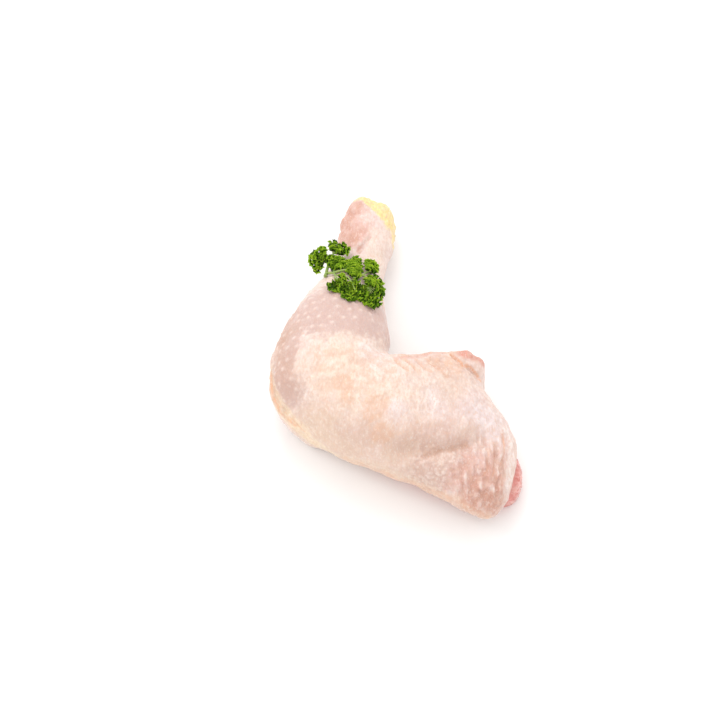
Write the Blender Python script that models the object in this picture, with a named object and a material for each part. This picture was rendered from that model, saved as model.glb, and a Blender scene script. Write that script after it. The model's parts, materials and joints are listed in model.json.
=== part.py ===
"""A raw chicken leg, skin on: drumstick and thigh bent at the knee, with a sprig of curly parsley."""

import math

import bmesh
import bpy
import numpy as np
from mathutils import Matrix, Vector
from mathutils.bvhtree import BVHTree

MM = 0.001

# Sections across the drumstick, from the hock to the knee, in millimetres:
# place along Y, middle in X, half width, top and bottom height.
DRUMSTICK_SECTIONS = (
    (79.0, -13.5, 3.0, 17.0, 7.0),
    (77.0, -13.2, 7.5, 20.0, 4.0),
    (70.0, -12.9, 11.6, 22.0, 1.0),
    (58.4, -12.8, 12.6, 23.5, -0.5),
    (50.2, -13.6, 12.4, 23.5, -0.5),
    (43.5, -15.4, 12.6, 24.0, 0.0),
    (35.7, -17.8, 13.6, 26.0, 0.5),
    (28.9, -20.2, 15.5, 29.5, 0.5),
    (20.9, -22.4, 17.8, 34.0, 0.0),
    (10.1, -24.6, 20.8, 39.5, -0.5),
    (1.5, -25.8, 22.8, 43.0, -1.0),
    (-10.3, -26.9, 25.0, 45.5, -1.0),
    (-20.4, -28.5, 27.2, 46.5, -1.0),
    (-29.7, -29.8, 27.0, 45.5, -1.0),
    (-36.8, -30.8, 24.4, 43.5, -1.0),
    (-43.0, -31.6, 19.5, 39.0, -1.0),
    (-48.2, -32.5, 13.0, 34.0, 0.0),
    (-52.0, -33.4, 6.0, 27.0, 4.0),
)
# Sections across the thigh, from inside the knee to the cut end:
# place along X, middle in Y, half width, top and bottom height.
THIGH_SECTIONS = (
    (-50.0, -31.0, 6.0, 28.0, 10.0),
    (-44.0, -32.5, 13.0, 36.0, 3.0),
    (-30.0, -36.0, 23.0, 44.0, -1.0),
    (-16.0, -39.4, 27.0, 45.5, -1.0),
    (2.3, -44.6, 29.8, 43.5, -1.0),
    (11.5, -45.9, 32.1, 41.0, -1.0),
    (20.7, -47.7, 35.9, 38.0, -1.0),
    (29.9, -51.0, 37.6, 35.0, -1.0),
    (36.5, -57.5, 34.5, 32.0, -1.0),
    (42.0, -61.5, 29.0, 29.0, -1.0),
    (46.0, -62.0, 23.0, 26.5, -0.5),
    (50.0, -60.5, 16.0, 23.5, 1.5),
    (52.0, -58.5, 9.5, 19.5, 4.5),
    (53.2, -57.0, 4.0, 15.0, 9.0),
)
SKIN_RING_POINTS = 56
SKIN_STEPS = 4
ROUNDNESS = 2.15

# Round masses: middle and half sizes, in millimetres.
MASS_SIDES = 32
KNEE = ((-22.0, -30.0, 22.0), (23.0, 21.0, 25.0))
END_LUMPS = {
    "inner_knuckle": ((-15.2, 73.0, 12.0), (6.5, 7.8, 9.0)),
    "outer_knuckle": ((-6.4, 68.0, 12.5), (7.0, 9.5, 9.0)),
    "spur": ((-22.2, 65.5, 12.0), (4.2, 6.0, 6.0)),
}
# Sections across the turned-up corner of skin on the thigh, as on the thigh itself.
FLAP_SECTIONS = (
    (20.0, -18.0, 4.0, 27.0, 12.0),
    (25.0, -18.0, 5.6, 28.6, 6.0),
    (31.0, -19.0, 6.6, 28.4, 2.5),
    (36.0, -20.2, 7.2, 27.6, 1.5),
    (38.4, -20.4, 6.4, 26.2, 3.0),
    (39.8, -20.4, 4.8, 24.4, 6.0),
)

# Creases in the skin: points near each, its depth and half width, in millimetres.
CREASES = {
    "thigh_valley": (
        ((-6, -66, 33), (10, -67, 31.6), (24, -66, 30.5), (34, -62, 29), (42, -57, 27)),
        3.4,
        4.4,
    ),
    "knee_seam": (
        ((-56.5, -22, 27), (-56, -30, 29), (-53, -38.5, 28.5), (-48.5, -44.5, 26), (-43, -49, 22)),
        1.8,
        1.4,
    ),
    "knee_fold": (
        ((-8, -23, 45), (-3, -16.5, 36), (-0.5, -13.5, 26), (0, -12, 16), (0, -11, 4)),
        3.0,
        3.6,
    ),
    "first_pleat": (((47, -52, 25), (49.5, -62, 25), (47.5, -72, 24), (44, -81, 22)), 1.6, 1.6),
    "second_pleat": (((43, -60, 27), (44, -70, 26), (41.5, -80, 24.5)), 1.4, 1.8),
}
CREASE_STEPS = 30
CREASE_FADE = 0.2

# Sections across the bare meat under the thigh, as on the thigh itself.
MEAT_SECTIONS = (
    (-20.0, -42.0, 3.0, 6.0, -6.0),
    (-16.0, -43.0, 9.0, 10.0, -6.0),
    (-4.0, -46.0, 15.0, 13.0, -6.0),
    (10.0, -50.0, 18.0, 14.5, -6.0),
    (24.0, -55.0, 19.5, 15.5, -6.0),
    (36.0, -61.5, 18.5, 15.5, -6.0),
    (46.0, -65.0, 14.5, 15.0, -6.0),
    (50.5, -66.0, 12.0, 14.0, -5.0),
    (53.5, -66.4, 8.5, 12.5, -3.0),
    (55.2, -66.5, 3.5, 9.0, 1.0),
)
MEAT_RING_POINTS = 30
MEAT_STEPS = 2
GAP = 0.3

FLOOR_BLOCK = 400.0
MERGE = 0.002

# The sprig's leaflets: base in plan, the lowest height each hangs to, half the spread of its lobes
# in degrees, and the heading and length of each lobe, anticlockwise from +X.
LEAFLETS = (
    ((-33.5, 35.5), 27.5, 29, ((78, 7.2), (108, 8.0), (153, 7.0), (202, 6.6), (248, 8.0))),
    ((-27.9, 40.2), 27.0, 26, ((9, 8.8), (54, 7.6), (99, 7.4))),
    ((-26.5, 32.3), 28.0, 27, ((-63, 6.6), (40, 6.6), (88, 6.2), (128, 7.8), (223, 5.4))),
    ((-19.3, 25.6), 28.0, 24, ((-56, 6.0), (61, 8.2), (84, 12.4), (102, 10.2), (128, 7.0))),
    ((-12.9, 26.3), 26.0, 24, ((40, 6.0), (62, 9.2), (87, 9.8))),
    ((-22.8, 16.8), 28.0, 28, ((106, 7.2), (188, 7.4), (234, 9.2))),
    ((-19.7, 15.4), 28.0, 28, ((97, 7.4), (243, 10.8), (270, 11.4), (316, 5.8))),
    (
        (-11.2, 15.0),
        27.0,
        28,
        ((-107, 11.4), (-84, 11.6), (-33, 6.6), (32, 7.6), (68, 11.4), (98, 9.4), (141, 4.2)),
    ),
)
LEAF_ROWS = (0.07, 0.4, 0.72, 1.0)
LOBE_COLUMNS = 5
LOBE_SHARE = 0.46
LOBE_DEPTH = 0.38
LOBE_POWER = 2.4
TOOTH_DEPTH = 0.06
LEAF_THICKNESS = 0.6
LEAF_NODE_RADIUS = 0.8
LEAF_CLEARANCE = 1.4
LEAF_RISE = 0.7
RUFFLE_HEIGHT = 1.6
RUFFLE_POWER = 1.4
RUFFLES_AROUND = 9.3
RUFFLE_TURN = 2.4
# The sprig's stems: plan points of each, and its radii at the two ends.
STEMS = (
    (((-32.0, 26.0), (-29.5, 26.0), (-26.0, 25.0), (-22.5, 25.5), (-19.3, 25.8)), 0.8, 0.7),
    (((-31.0, 26.0), (-30.8, 31.0), (-31.7, 34.0), (-33.5, 35.6)), 0.65, 0.55),
    (((-29.3, 26.0), (-28.0, 30.0), (-26.6, 33.0), (-26.9, 37.0), (-27.7, 40.2)), 0.65, 0.5),
    (((-27.4, 25.2), (-26.0, 20.0), (-22.8, 16.8)), 0.6, 0.5),
    (((-22.5, 25.6), (-21.0, 21.0), (-19.7, 15.4)), 0.65, 0.5),
    (((-19.3, 25.8), (-17.0, 23.0), (-15.2, 22.5), (-12.9, 26.3)), 0.65, 0.5),
    (((-15.6, 22.5), (-13.4, 19.0), (-11.2, 15.0)), 0.6, 0.5),
)
STEM_SIDES = 7
STEM_LOWEST = 27.0
STEM_STEPS = 3

# Middle of the whole in plan, which the finished parts have as their origin.
PLAN_MIDDLE = (-0.538, -5.37)

# Base colour and roughness.
FINISHES = {
    "leg": ((0.78, 0.56, 0.48), 0.38),
    "thigh_meat": ((0.55, 0.16, 0.14), 0.35),
    "parsley_sprig": ((0.07, 0.17, 0.015), 0.5),
}

SHARP_ANGLE = 55.0

SMOOTH_FACTOR = 0.5
CORE_VOXEL = 1.8
CORE_SMOOTH_PASSES = 26
SKIN_VOXEL = 1.25
SKIN_SMOOTH_PASSES = 5
CREASED_SMOOTH_PASSES = 3
LEG_TRIANGLES = 6400


def remove_everything():
    for obj in list(bpy.data.objects):
        bpy.data.objects.remove(obj)


def through(rows, steps):
    """Rows of numbers read from the smooth curve through the given rows."""
    rows = np.array(rows, float)
    padded = np.vstack([2 * rows[0] - rows[1], rows, 2 * rows[-1] - rows[-2]])
    out = []
    for i in range(len(rows) - 1):
        a, b, c, d = padded[i : i + 4]
        for step in range(steps):
            t = step / steps
            bend = (2 * a - 5 * b + 4 * c - d) * t**2 + (3 * b - a - 3 * c + d) * t**3
            out.append((2 * b + (c - a) * t + bend) / 2)
    out.append(rows[-1])
    return np.array(out)


def section_ring(half_width, top, bottom, ring_points):
    """Across and up coordinates of a rounded section."""
    angles = np.linspace(0, 2 * math.pi, ring_points, endpoint=False)
    power = 2 / ROUNDNESS
    across = half_width * np.sign(np.cos(angles)) * np.abs(np.cos(angles)) ** power
    up = (top + bottom) / 2 + (top - bottom) / 2 * np.sign(np.sin(angles)) * np.abs(np.sin(angles)) ** power
    return across, up


def object_of(name, mesh):
    bmesh.ops.recalc_face_normals(mesh, faces=mesh.faces)
    data = bpy.data.meshes.new(name)
    mesh.to_mesh(data)
    mesh.free()
    obj = bpy.data.objects.new(name, data)
    bpy.context.scene.collection.objects.link(obj)
    return obj


def lofted(name, sections, along, ring_points=SKIN_RING_POINTS, steps=SKIN_STEPS):
    """A closed body through the sections, which stand along X or along Y."""
    mesh = bmesh.new()
    rings = []
    for place, middle, half_width, top, bottom in through(sections, steps):
        across, up = section_ring(half_width, top, bottom, ring_points)
        across = across + middle
        if along == "X":
            points = [(place, a, u) for a, u in zip(across, up)]
        else:
            points = [(a, place, u) for a, u in zip(across, up)]
        rings.append([mesh.verts.new(Vector(p) * MM) for p in points])
    for first, second in zip(rings, rings[1:]):
        for i in range(ring_points):
            j = (i + 1) % ring_points
            mesh.faces.new((first[i], first[j], second[j], second[i]))
    mesh.faces.new(rings[0])
    mesh.faces.new(rings[-1])
    return object_of(name, mesh)


def rounded_mass(name, middle, half_sizes):
    mesh = bmesh.new()
    bmesh.ops.create_uvsphere(mesh, u_segments=MASS_SIDES, v_segments=MASS_SIDES // 2, radius=MM)
    bmesh.ops.scale(mesh, vec=half_sizes, verts=mesh.verts)
    bmesh.ops.translate(mesh, vec=Vector(middle) * MM, verts=mesh.verts)
    return object_of(name, mesh)


def applied(obj):
    """The object with its modifiers turned into its mesh."""
    graph = bpy.context.evaluated_depsgraph_get()
    data = bpy.data.meshes.new_from_object(obj.evaluated_get(graph))
    obj.modifiers.clear()
    obj.data = data
    return obj


def joined(obj, other):
    union = obj.modifiers.new("join", "BOOLEAN")
    union.operation = "UNION"
    union.object = other
    applied(obj)
    bpy.data.objects.remove(other)
    return obj


def points_and_normals(obj):
    points = np.empty(len(obj.data.vertices) * 3)
    normals = np.empty(len(obj.data.vertices) * 3)
    obj.data.vertices.foreach_get("co", points)
    obj.data.vertices.foreach_get("normal", normals)
    return points.reshape(-1, 3) / MM, normals.reshape(-1, 3)


def crease(obj, path, depth, half_width):
    """Presses a soft groove into the skin along the path, laid on the nearest skin."""
    points, normals = points_and_normals(obj)
    tree = BVHTree.FromObject(obj, bpy.context.evaluated_depsgraph_get())
    laid = np.array([tree.find_nearest(Vector(p) * MM)[0] / MM for p in through(path, CREASE_STEPS)])
    for _ in range(CREASE_STEPS):
        laid[1:-1] = (laid[:-2] + 2 * laid[1:-1] + laid[2:]) / 4
    distance = np.linalg.norm(points[:, None] - laid[None], axis=2)
    nearest = distance.argmin(axis=1)
    along = nearest / (len(laid) - 1)
    fade = np.clip(np.minimum(along, 1 - along) / CREASE_FADE, 0, 1)
    fade = fade * fade * (3 - 2 * fade)
    press = depth * fade * np.exp(-((distance.min(axis=1) / half_width) ** 2))
    points -= normals * press[:, None]
    obj.data.vertices.foreach_set("co", (points * MM).ravel())
    obj.data.update()


def softened(obj, passes):
    smooth = obj.modifiers.new("soften", "SMOOTH")
    smooth.factor = SMOOTH_FACTOR
    smooth.iterations = passes
    applied(obj)


def evened(obj, voxel, passes):
    """The body's masses melted together: one even mesh, then softened."""
    remesh = obj.modifiers.new("even mesh", "REMESH")
    remesh.mode = "VOXEL"
    remesh.voxel_size = voxel * MM
    applied(obj)
    softened(obj, passes)


def thinned(obj, triangles):
    """The mesh with fewer faces, which stay close together only where the form needs them."""
    obj.data.calc_loop_triangles()
    decimate = obj.modifiers.new("fewer faces", "DECIMATE")
    decimate.ratio = triangles / len(obj.data.loop_triangles)
    applied(obj)


def leg_skin():
    leg = lofted("leg", DRUMSTICK_SECTIONS, "Y")
    joined(leg, lofted("thigh", THIGH_SECTIONS, "X"))
    joined(leg, rounded_mass("knee", *KNEE))
    evened(leg, CORE_VOXEL, CORE_SMOOTH_PASSES)
    for name, (middle, half_sizes) in END_LUMPS.items():
        joined(leg, rounded_mass(name, middle, half_sizes))
    joined(leg, lofted("flap", FLAP_SECTIONS, "X"))
    evened(leg, SKIN_VOXEL, SKIN_SMOOTH_PASSES)
    for path, depth, half_width in CREASES.values():
        crease(leg, path, depth, half_width)
    softened(leg, CREASED_SMOOTH_PASSES)
    thinned(leg, LEG_TRIANGLES)
    return leg


def cut(obj, cutter):
    difference = obj.modifiers.new("cut", "BOOLEAN")
    difference.operation = "DIFFERENCE"
    difference.object = cutter
    applied(obj)
    bpy.data.objects.remove(cutter)
    mesh = bmesh.new()
    mesh.from_mesh(obj.data)
    bmesh.ops.remove_doubles(mesh, verts=mesh.verts, dist=MERGE * MM)
    mesh.to_mesh(obj.data)
    mesh.free()


def stood_on_floor(obj):
    """The flat that the body's own weight presses on its underside."""
    mesh = bmesh.new()
    bmesh.ops.create_cube(mesh, size=FLOOR_BLOCK * MM)
    bmesh.ops.translate(mesh, vec=(0, 0, -FLOOR_BLOCK / 2 * MM), verts=mesh.verts)
    cut(obj, object_of("floor", mesh))


def swollen(sections, by):
    return [
        (place + by * side, middle, half_width + by, top + by, bottom - by)
        for (place, middle, half_width, top, bottom), side in zip(sections, np.linspace(-1, 1, len(sections)))
    ]


def meat_form(name, sections):
    return lofted(name, sections, "X", MEAT_RING_POINTS, MEAT_STEPS)


def height_over(skin):
    """A reader of the sprig's height at a place in plan: just over the skin, or its lowest height."""
    tree = BVHTree.FromObject(skin, bpy.context.evaluated_depsgraph_get())

    def height(x, y, lowest):
        hit = tree.ray_cast(Vector((x, y, FLOOR_BLOCK)) * MM, Vector((0, 0, -1)))[0]
        return max(hit.z / MM + LEAF_CLEARANCE, lowest) if hit else lowest

    return height


def leaf_edge(half_spread, lobes):
    """Angles round the leaflet's base, lobe after lobe from its widest gap, and the leaf's reach at each."""
    gaps = [(lobes[i][0] - lobes[i - 1][0]) % 360 for i in range(len(lobes))]
    first = gaps.index(max(gaps))
    turned = list(lobes[first:]) + [(heading + 360, reach) for heading, reach in lobes[:first]]
    edge = []
    for i, (heading, reach) in enumerate(turned):
        before = after = half_spread
        if i > 0:
            before = min(half_spread, (heading - turned[i - 1][0]) * LOBE_SHARE)
        if i + 1 < len(turned):
            after = min(half_spread, (turned[i + 1][0] - heading) * LOBE_SHARE)
        for aside in np.linspace(-1, 1, LOBE_COLUMNS):
            tooth = 1 + TOOTH_DEPTH * (-1) ** len(edge)
            angle = heading + aside * (after if aside > 0 else before)
            edge.append((math.radians(angle), reach * tooth * (1 - LOBE_DEPTH * abs(aside) ** LOBE_POWER)))
    return edge


def leaflet(index, base, lowest, half_spread, lobes, height):
    """A thin ruffled leaflet with a toothed edge; both its faces have the same triangles."""
    mesh = bmesh.new()
    sheets = ([], [])
    edge = leaf_edge(half_spread, lobes)
    for part_way in LEAF_ROWS:
        for angle, reach in edge:
            x = base[0] + part_way * reach * math.cos(angle)
            y = base[1] + part_way * reach * math.sin(angle)
            wave = (1 + math.sin(RUFFLES_AROUND * angle + RUFFLE_TURN * index)) / 2
            raised = RUFFLE_HEIGHT * wave * part_way**RUFFLE_POWER + LEAF_RISE * part_way**2
            z = height(x, y, lowest) + raised
            for sheet, side in zip(sheets, (0.5, -0.5)):
                sheet.append(mesh.verts.new(Vector((x, y, z + side * LEAF_THICKNESS)) * MM))
    rows, columns = len(LEAF_ROWS), len(edge)
    for sheet in sheets:
        for r in range(rows - 1):
            for c in range(columns - 1):
                a, b = sheet[r * columns + c], sheet[r * columns + c + 1]
                d, e = sheet[(r + 1) * columns + c], sheet[(r + 1) * columns + c + 1]
                mesh.faces.new((a, b, d))
                mesh.faces.new((b, e, d))
    rim = list(range(columns))
    rim += [r * columns + columns - 1 for r in range(1, rows)]
    rim += [(rows - 1) * columns + c for c in range(columns - 2, -1, -1)]
    rim += [r * columns for r in range(rows - 2, 0, -1)]
    top, bottom = sheets
    for i, j in zip(rim, rim[1:] + rim[:1]):
        mesh.faces.new((top[i], top[j], bottom[j]))
        mesh.faces.new((top[i], bottom[j], bottom[i]))
    return object_of(f"leaflet {index}", mesh)


def stem(index, path, first_radius, last_radius, height):
    places = [Vector((x, y, height(x, y, STEM_LOWEST))) for x, y in through(path, STEM_STEPS)]
    mesh = bmesh.new()
    rings = []
    for i, place in enumerate(places):
        along = (places[min(i + 1, len(places) - 1)] - places[max(i - 1, 0)]).normalized()
        side = along.cross(Vector((0, 0, 1))).normalized()
        up = side.cross(along)
        radius = first_radius + (last_radius - first_radius) * i / (len(places) - 1)
        angles = [2 * math.pi * k / STEM_SIDES for k in range(STEM_SIDES)]
        rings.append([
            mesh.verts.new((place + radius * (math.cos(a) * side + math.sin(a) * up)) * MM) for a in angles
        ])
    for first, second in zip(rings, rings[1:]):
        for i in range(STEM_SIDES):
            j = (i + 1) % STEM_SIDES
            mesh.faces.new((first[i], first[j], second[j], second[i]))
    mesh.faces.new(rings[0])
    mesh.faces.new(rings[-1])
    return object_of(f"stem {index}", mesh)


def leaf_node(index, base, lowest, height):
    """The bead of stem from which a leaflet spreads."""
    x, y = base
    mesh = bmesh.new()
    bmesh.ops.create_icosphere(mesh, subdivisions=1, radius=LEAF_NODE_RADIUS * MM)
    bmesh.ops.translate(mesh, vec=Vector((x, y, height(x, y, lowest))) * MM, verts=mesh.verts)
    return object_of(f"node {index}", mesh)


def parsley_sprig(skin):
    height = height_over(skin)
    pieces = [leaflet(i, *row, height) for i, row in enumerate(LEAFLETS)]
    pieces += [leaf_node(i, base, lowest, height) for i, (base, lowest, _, _) in enumerate(LEAFLETS)]
    pieces += [stem(i, *row, height) for i, row in enumerate(STEMS)]
    sprig = pieces.pop()
    sprig.name = "parsley_sprig"
    rest = bpy.data.collections.new("sprig pieces")
    for piece in pieces:
        rest.objects.link(piece)
    union = sprig.modifiers.new("fuse", "BOOLEAN")
    union.operation = "UNION"
    union.operand_type = "COLLECTION"
    union.collection = rest
    applied(sprig)
    for piece in pieces:
        bpy.data.objects.remove(piece)
    bpy.data.collections.remove(rest)
    return sprig


def finished(obj):
    """The part in its place, with its material."""
    x, y = PLAN_MIDDLE
    obj.data.transform(Matrix.Translation(Vector((-x, -y, 0)) * MM))
    colour, roughness = FINISHES[obj.name]
    material = bpy.data.materials.new(obj.name)
    material.use_nodes = True
    shader = material.node_tree.nodes["Principled BSDF"]
    shader.inputs["Base Color"].default_value = (*colour, 1)
    shader.inputs["Roughness"].default_value = roughness
    shader.inputs["Metallic"].default_value = 0.0
    obj.data.materials.clear()
    obj.data.materials.append(material)
    obj.data.shade_smooth()
    obj.data.set_sharp_from_angle(angle=math.radians(SHARP_ANGLE))


def main():
    remove_everything()
    leg = leg_skin()
    meat = meat_form("thigh_meat", MEAT_SECTIONS)
    cut(leg, meat_form("pocket", swollen(MEAT_SECTIONS, GAP)))
    stood_on_floor(leg)
    stood_on_floor(meat)
    for part in (leg, meat, parsley_sprig(leg)):
        finished(part)


main()
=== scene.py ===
import json
import math

import bmesh
import bpy
import numpy as np
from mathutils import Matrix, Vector
from mathutils.bvhtree import BVHTree

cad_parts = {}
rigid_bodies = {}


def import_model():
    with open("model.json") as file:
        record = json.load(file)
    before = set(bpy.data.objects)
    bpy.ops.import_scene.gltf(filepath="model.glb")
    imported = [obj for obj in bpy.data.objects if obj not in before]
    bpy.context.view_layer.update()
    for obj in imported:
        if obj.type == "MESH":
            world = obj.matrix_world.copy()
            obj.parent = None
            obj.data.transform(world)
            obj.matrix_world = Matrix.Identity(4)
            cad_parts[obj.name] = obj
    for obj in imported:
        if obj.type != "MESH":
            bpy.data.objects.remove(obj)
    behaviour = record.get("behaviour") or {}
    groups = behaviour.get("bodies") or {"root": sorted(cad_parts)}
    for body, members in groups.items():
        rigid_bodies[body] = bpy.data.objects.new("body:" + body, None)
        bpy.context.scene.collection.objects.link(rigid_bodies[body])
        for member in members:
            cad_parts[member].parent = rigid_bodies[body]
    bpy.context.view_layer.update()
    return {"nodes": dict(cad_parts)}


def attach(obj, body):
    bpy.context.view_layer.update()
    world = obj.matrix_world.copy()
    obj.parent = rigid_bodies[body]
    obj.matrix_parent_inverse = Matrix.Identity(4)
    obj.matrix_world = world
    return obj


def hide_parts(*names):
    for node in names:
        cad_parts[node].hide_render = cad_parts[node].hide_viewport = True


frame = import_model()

# Sizes below are in millimetres; places are the leg's own, before this shift to the middle of its box.
mm = 0.001
middleShift = np.array((0.538, 5.37, 0.0))


# The view of the photograph, soft light and a pale floor.
studio = {
    "lookAt": (-16.1, -1.63, 0.0),
    "elevation": 58.0,
    "distance": 920.0,
    "lens": 100.0,
    "floorSize": 9000.0,
    "floorColour": (0.935, 0.935, 0.935),
    "skyColour": (1.0, 0.995, 0.985),
    "skyStrength": 1.16,
    # name: place, size, power, colour
    "lamps": {
        "backSoftbox": ((-120, 620, 900), 520, 2.5, (1.0, 0.99, 0.975)),
        "sideSoftbox": ((-650, 60, 700), 300, 1.0, (1.0, 0.99, 0.98)),
    },
}


def placed(point):
    return Vector(np.array(point, float) + middleShift) * mm


def aimed(obj, place, target):
    obj.location = place
    obj.rotation_mode = "QUATERNION"
    obj.rotation_quaternion = (target - place).to_track_quat("-Z", "Y")


def makeStudio():
    scene = bpy.context.scene
    scene.view_settings.view_transform = "Standard"
    target = placed(studio["lookAt"])
    rise = math.radians(studio["elevation"])
    back = Vector((0, -math.cos(rise), math.sin(rise)))
    camera = bpy.data.objects.new("camera", bpy.data.cameras.new("camera"))
    camera.data.lens = studio["lens"]
    camera.data.clip_end = 20
    aimed(camera, target + back * studio["distance"] * mm, target)
    scene.collection.objects.link(camera)
    scene.camera = camera
    for name, (place, size, power, colour) in studio["lamps"].items():
        lamp = bpy.data.lights.new(name, "AREA")
        lamp.size = size * mm
        lamp.energy = power
        lamp.color = colour
        holder = bpy.data.objects.new(name, lamp)
        aimed(holder, Vector(place) * mm, Vector((0, 0, 0)))
        scene.collection.objects.link(holder)
    world = bpy.data.worlds.new("white room")
    world.use_nodes = True
    background = world.node_tree.nodes["Background"]
    background.inputs["Color"].default_value = (*studio["skyColour"], 1)
    background.inputs["Strength"].default_value = studio["skyStrength"]
    scene.world = world
    half = studio["floorSize"] / 2 * mm
    mesh = bpy.data.meshes.new("floor")
    mesh.from_pydata([(-half, -half, 0), (half, -half, 0), (half, half, 0), (-half, half, 0)], [], [(0, 1, 2, 3)])
    floor = bpy.data.objects.new("floor", mesh)
    scene.collection.objects.link(floor)
    material = bpy.data.materials.new("paleFloor")
    material.use_nodes = True
    shader = material.node_tree.nodes["Principled BSDF"]
    shader.inputs["Base Color"].default_value = (*studio["floorColour"], 1)
    shader.inputs["Roughness"].default_value = 0.9
    mesh.materials.append(material)
    print("studio ready")


# Helpers for meshes, masks and node trees.
def smoothStep(low, high, value):
    t = np.clip((value - low) / (high - low), 0, 1)
    return t * t * (3 - 2 * t)


def through(rows, steps):
    rows = np.array(rows, float)
    padded = np.vstack([2 * rows[0] - rows[1], rows, 2 * rows[-1] - rows[-2]])
    out = []
    for i in range(len(rows) - 1):
        a, b, c, d = padded[i : i + 4]
        for step in range(steps):
            t = step / steps
            bend = (2 * a - 5 * b + 4 * c - d) * t**2 + (3 * b - a - 3 * c + d) * t**3
            out.append((2 * b + (c - a) * t + bend) / 2)
    out.append(rows[-1])
    return np.array(out)


def linked(name, mesh):
    piece = bpy.data.objects.new(name, mesh)
    bpy.context.scene.collection.objects.link(piece)
    return piece


def meshFrom(shape, name):
    mesh = bpy.data.meshes.new(name)
    shape.to_mesh(mesh)
    shape.free()
    return mesh


def copyOfNode(node, name):
    shape = bmesh.new()
    shape.from_mesh(frame["nodes"][node].data)
    bmesh.ops.remove_doubles(shape, verts=shape.verts, dist=0.001 * mm)
    bmesh.ops.recalc_face_normals(shape, faces=shape.faces)
    return linked(name, meshFrom(shape, name))


def applied(piece):
    graph = bpy.context.evaluated_depsgraph_get()
    mesh = bpy.data.meshes.new_from_object(piece.evaluated_get(graph))
    piece.modifiers.clear()
    piece.data = mesh
    return piece


def evenMesh(piece, voxel, passes):
    remesh = piece.modifiers.new("even mesh", "REMESH")
    remesh.mode = "VOXEL"
    remesh.voxel_size = voxel * mm
    smooth = piece.modifiers.new("soften", "SMOOTH")
    smooth.factor = 0.5
    smooth.iterations = passes
    applied(piece)


def valuesOf(mesh, kind):
    values = np.empty(len(mesh.vertices) * 3)
    mesh.vertices.foreach_get(kind, values)
    return values.reshape(-1, 3)


def pointsOf(mesh):
    return valuesOf(mesh, "co") / mm - middleShift


def movePoints(mesh, points):
    mesh.vertices.foreach_set("co", ((points + middleShift) * mm).ravel())
    mesh.update()


def overFloor(mesh):
    points = pointsOf(mesh)
    points[:, 2] = np.maximum(points[:, 2], 0)
    movePoints(mesh, points)
    mesh.shade_smooth()


def storeMask(mesh, name, values):
    layer = mesh.attributes.new(name, "FLOAT", "POINT")
    layer.data.foreach_set("value", np.asarray(values, np.float32))


def surfaceOf(piece):
    return BVHTree.FromObject(piece, bpy.context.evaluated_depsgraph_get())


def distanceTo(surface, points):
    return np.array([surface.find_nearest(Vector(p + middleShift) * mm)[3] / mm for p in points])


def wander(points, size, amount, seed):
    rng = np.random.default_rng(seed)
    shift = np.zeros_like(points)
    for _ in range(7):
        waves = rng.normal(size=(3, 3)) * 2.4 / size
        starts = rng.uniform(0, 2 * math.pi, 3)
        shift += np.sin(points @ waves.T + starts)
    return points + shift * amount / 2.6


def spot(points, middle, reach, softness=0.35):
    away = np.linalg.norm((points - np.array(middle)) / np.array(reach), axis=1)
    return 1 - smoothStep(1 - softness, 1 + softness, away)


def laidOn(surface, path, steps):
    return [np.array(surface.find_nearest(placed(p))[0]) / mm - middleShift for p in through(path, steps)]


def alongPath(points, path, steps=14):
    line = through(path, steps)
    away = np.full(len(points), 1e9)
    along = np.zeros(len(points))
    for i, place in enumerate(line):
        near = np.linalg.norm(points - place, axis=1)
        closer = near < away
        away[closer] = near[closer]
        along[closer] = i / (len(line) - 1)
    return away, along


def band(points, path, halfWidth, softness=0.5):
    away, _ = alongPath(points, path, 4)
    return 1 - smoothStep(halfWidth * (1 - softness), halfWidth * (1 + softness), away)


def put(tree, socket, value):
    if isinstance(value, bpy.types.NodeSocket):
        tree.links.new(value, socket)
    else:
        socket.default_value = value


def add(tree, kind, inputs=None, **settings):
    node = tree.nodes.new(kind)
    for key, value in settings.items():
        setattr(node, key, value)
    for key, value in (inputs or {}).items():
        put(tree, node.inputs[key], value)
    return node


def math2(tree, operation, a, b=0.0):
    return add(tree, "ShaderNodeMath", {0: a, 1: b}, operation=operation).outputs[0]


def times(tree, a, b):
    return math2(tree, "MULTIPLY", a, b)


def vector2(tree, operation, a, b):
    second = "Scale" if operation == "SCALE" else 1
    return add(tree, "ShaderNodeVectorMath", {0: a, second: b}, operation=operation).outputs[0]


def mixColour(tree, factor, a, b):
    node = tree.nodes.new("ShaderNodeMix")
    node.data_type = "RGBA"
    for identifier, value in (("Factor_Float", factor), ("A_Color", a), ("B_Color", b)):
        socket = next(s for s in node.inputs if s.identifier == identifier)
        put(tree, socket, (*value, 1) if isinstance(value, tuple) and len(value) == 3 else value)
    return next(s for s in node.outputs if s.identifier == "Result_Color")


def tinted(tree, colour, mask, strength, tint):
    return mixColour(tree, times(tree, mask, strength), colour, tint)


def ranged(tree, value, low, high, toLow=0.0, toHigh=1.0, kind="SMOOTHSTEP"):
    ends = {"Value": value, "From Min": low, "From Max": high}
    node = add(tree, "ShaderNodeMapRange", ends, interpolation_type=kind)
    node.inputs["To Min"].default_value = toLow
    node.inputs["To Max"].default_value = toHigh
    return node.outputs["Result"]


def newGroup(name, kind, inputs, outputs):
    tree = bpy.data.node_groups.new(name, kind)
    for inOut, rows in (("INPUT", inputs), ("OUTPUT", outputs)):
        for label, (socketType, value) in rows.items():
            socket = tree.interface.new_socket(name=label, in_out=inOut, socket_type="NodeSocket" + socketType)
            if value is not None and inOut == "INPUT":
                socket.default_value = value
    return tree, tree.nodes.new("NodeGroupInput"), tree.nodes.new("NodeGroupOutput")


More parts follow.
